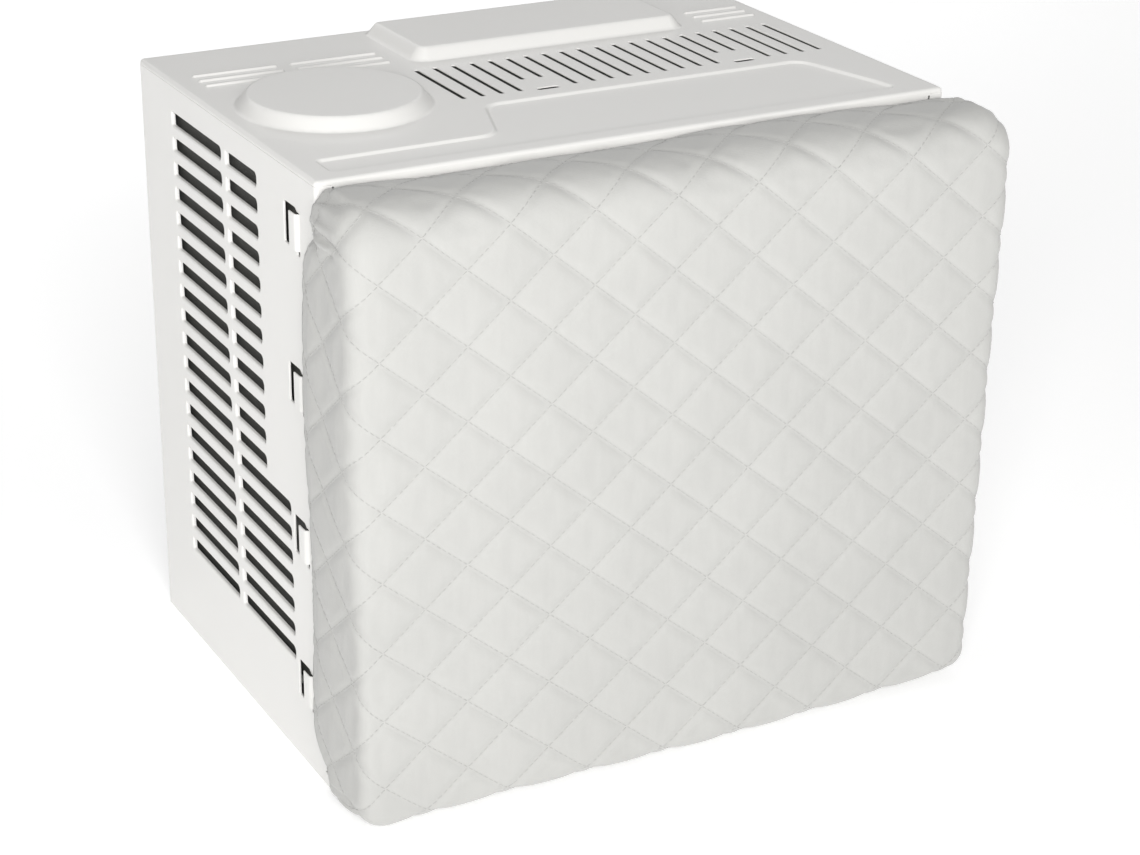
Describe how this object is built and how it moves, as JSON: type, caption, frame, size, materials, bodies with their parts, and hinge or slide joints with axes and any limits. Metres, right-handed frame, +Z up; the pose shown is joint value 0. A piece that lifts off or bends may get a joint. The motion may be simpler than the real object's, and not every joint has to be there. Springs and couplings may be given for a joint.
{
  "type": "window air conditioner",
  "caption": "Window air conditioner: slotted off-white steel cabinet, coils, fan and blower inside, louvred plastic front under a quilted slip-on cover.",
  "frame": {"origin": "on the surface that the base stands on, under the middle of the object's bounding box", "axes": "+X to the right seen from the room, +Y from the room towards the outdoors, +Z up"},
  "size_m": [0.498, 0.392, 0.4495],
  "materials": {
    "paint": "off-white powder coat, fine orange-peel",
    "galvanised": "galvanised sheet steel",
    "fins": "thin aluminium fins",
    "copper": "drawn copper tube",
    "black_steel": "black enamel",
    "shaft_steel": "bright steel",
    "grille_plastic": "moulded white plastic, fine grain",
    "grey_plastic": "moulded grey plastic",
    "dark_plastic": "moulded dark plastic",
    "foam": "moulded expanded foam",
    "rubber": "soft black rubber",
    "filter_mesh": "woven filter mesh in a plastic frame",
    "screen": "dark woven screen",
    "quilt": "quilted cotton-like cloth, off-white",
    "binding": "gathered elastic edging"
  },
  "bodies": {
    "chassis": {"base_pan": "galvanised", "left_side_panel": "paint", "right_side_panel": "paint", "left_side_screen": "screen", "right_side_screen": "screen", "top_panel": "paint", "rear_guard": "paint", "condenser_coil": "fins", "evaporator_coil": "fins", "compressor": "black_steel", "accumulator": "black_steel", "discharge_line": "copper", "suction_line": "copper", "capillary_line": "copper", "filter_drier": "copper", "fan_shroud": "grey_plastic", "fan_motor": "black_steel", "motor_bracket": "galvanised", "bulkhead": "galvanised", "blower_housing": "foam", "drain_pan": "foam", "control_box": "galvanised", "mode_switch": "dark_plastic", "thermostat": "dark_plastic", "sensing_bulb": "copper", "run_capacitor": "galvanised", "capacitor_strap": "galvanised", "control_panel": "grille_plastic", "cord_grommet": "rubber", "compressor_grommet_1": "rubber", "compressor_grommet_2": "rubber", "compressor_grommet_3": "rubber", "left_rear_screw_1": "shaft_steel", "left_rear_screw_2": "shaft_steel", "right_rear_screw_1": "shaft_steel", "right_rear_screw_2": "shaft_steel"},
    "fan_rotor": {"motor_shaft": "shaft_steel", "condenser_fan": "dark_plastic", "blower_wheel": "dark_plastic"},
    "mode_knob": {"mode_knob": "grille_plastic"},
    "thermostat_knob": {"thermostat_knob": "grille_plastic"},
    "vent_lever": {"vent_lever": "grey_plastic"},
    "vent_damper": {"vent_damper": "grey_plastic"},
    "front_grille": {"front_grille": "grille_plastic", "louvre_frame": "grille_plastic", "air_filter": "filter_mesh"},
    "louvre_1": {"horizontal_louvre_1": "grille_plastic"},
    "louvre_2": {"horizontal_louvre_2": "grille_plastic"},
    "louvre_3": {"horizontal_louvre_3": "grille_plastic"},
    "louvre_4": {"horizontal_louvre_4": "grille_plastic"},
    "vane_1": {"vertical_vane_1": "grille_plastic"},
    "vane_2": {"vertical_vane_2": "grille_plastic"},
    "vane_3": {"vertical_vane_3": "grille_plastic"},
    "vane_4": {"vertical_vane_4": "grille_plastic"},
    "vane_5": {"vertical_vane_5": "grille_plastic"},
    "vane_tie_bar": {"vane_tie_bar": "grille_plastic"},
    "cover": {"quilted_cover": "quilt", "elastic_band": "binding"}
  },
  "joints": [
    {"name": "fan_spin", "type": "hinge", "parent": "chassis", "child": "fan_rotor", "pos_m": [0.04, 0.066, 0.19], "axis": [0, 1, 0], "continuous": true},
    {"name": "mode_knob_turn", "type": "hinge", "parent": "chassis", "child": "mode_knob", "pos_m": [0.171, -0.166, 0.384], "axis": [0, 1, 0], "range_deg": [0, 240]},
    {"name": "thermostat_knob_turn", "type": "hinge", "parent": "chassis", "child": "thermostat_knob", "pos_m": [0.171, -0.166, 0.332], "axis": [0, 1, 0], "range_deg": [0, 270]},
    {"name": "vent_lever_push", "type": "slide", "parent": "chassis", "child": "vent_lever", "axis": [0, 1, 0], "range_m": [0, 0.012]},
    {"name": "vent_damper_swing", "type": "hinge", "parent": "chassis", "child": "vent_damper", "pos_m": [0.09, 0.00975, 0.358], "axis": [1, 0, 0], "range_deg": [0, 40]},
    {"name": "front_grille_pull", "type": "slide", "parent": "chassis", "child": "front_grille", "axis": [0, -1, 0], "range_m": [0, 0.1]},
    {"name": "cover_pull", "type": "slide", "parent": "front_grille", "child": "cover", "axis": [0, -1, 0], "range_m": [0, 0.1]},
    {"name": "louvre_1_tilt", "type": "hinge", "parent": "front_grille", "child": "louvre_1", "pos_m": [-0.0575, -0.168, 0.316], "axis": [1, 0, 0], "range_deg": [-25, 25]},
    {"name": "louvre_2_tilt", "type": "hinge", "parent": "front_grille", "child": "louvre_2", "pos_m": [-0.0575, -0.168, 0.342], "axis": [1, 0, 0], "range_deg": [-25, 25]},
    {"name": "louvre_3_tilt", "type": "hinge", "parent": "front_grille", "child": "louvre_3", "pos_m": [-0.0575, -0.168, 0.368], "axis": [1, 0, 0], "range_deg": [-25, 25]},
    {"name": "louvre_4_tilt", "type": "hinge", "parent": "front_grille", "child": "louvre_4", "pos_m": [-0.0575, -0.168, 0.394], "axis": [1, 0, 0], "range_deg": [-25, 25]},
    {"name": "vane_1_swing", "type": "hinge", "parent": "front_grille", "child": "vane_1", "pos_m": [-0.178, -0.142, 0.355], "axis": [0, 0, 1], "range_deg": [-35, 35]},
    {"name": "vane_2_swing", "type": "hinge", "parent": "front_grille", "child": "vane_2", "pos_m": [-0.118, -0.142, 0.355], "axis": [0, 0, 1], "range_deg": [-35, 35]},
    {"name": "vane_3_swing", "type": "hinge", "parent": "front_grille", "child": "vane_3", "pos_m": [-0.058, -0.142, 0.355], "axis": [0, 0, 1], "range_deg": [-35, 35]},
    {"name": "vane_4_swing", "type": "hinge", "parent": "front_grille", "child": "vane_4", "pos_m": [0.002, -0.142, 0.355], "axis": [0, 0, 1], "range_deg": [-35, 35]},
    {"name": "vane_5_swing", "type": "hinge", "parent": "front_grille", "child": "vane_5", "pos_m": [0.062, -0.142, 0.355], "axis": [0, 0, 1], "range_deg": [-35, 35]},
    {"name": "tie_bar_link", "type": "hinge", "parent": "vane_1", "child": "vane_tie_bar", "pos_m": [-0.178, -0.133, 0.306], "axis": [0, 0, 1], "range_deg": [-35, 35]}
  ],
  "couplings": [
    {"joint": "vent_damper_swing", "follows": "vent_lever_push", "rad_per_m": 58.17},
    {"joint": "vane_2_swing", "follows": "vane_1_swing", "ratio": 1},
    {"joint": "vane_3_swing", "follows": "vane_1_swing", "ratio": 1},
    {"joint": "vane_4_swing", "follows": "vane_1_swing", "ratio": 1},
    {"joint": "vane_5_swing", "follows": "vane_1_swing", "ratio": 1},
    {"joint": "tie_bar_link", "follows": "vane_1_swing", "ratio": -1}
  ]
}
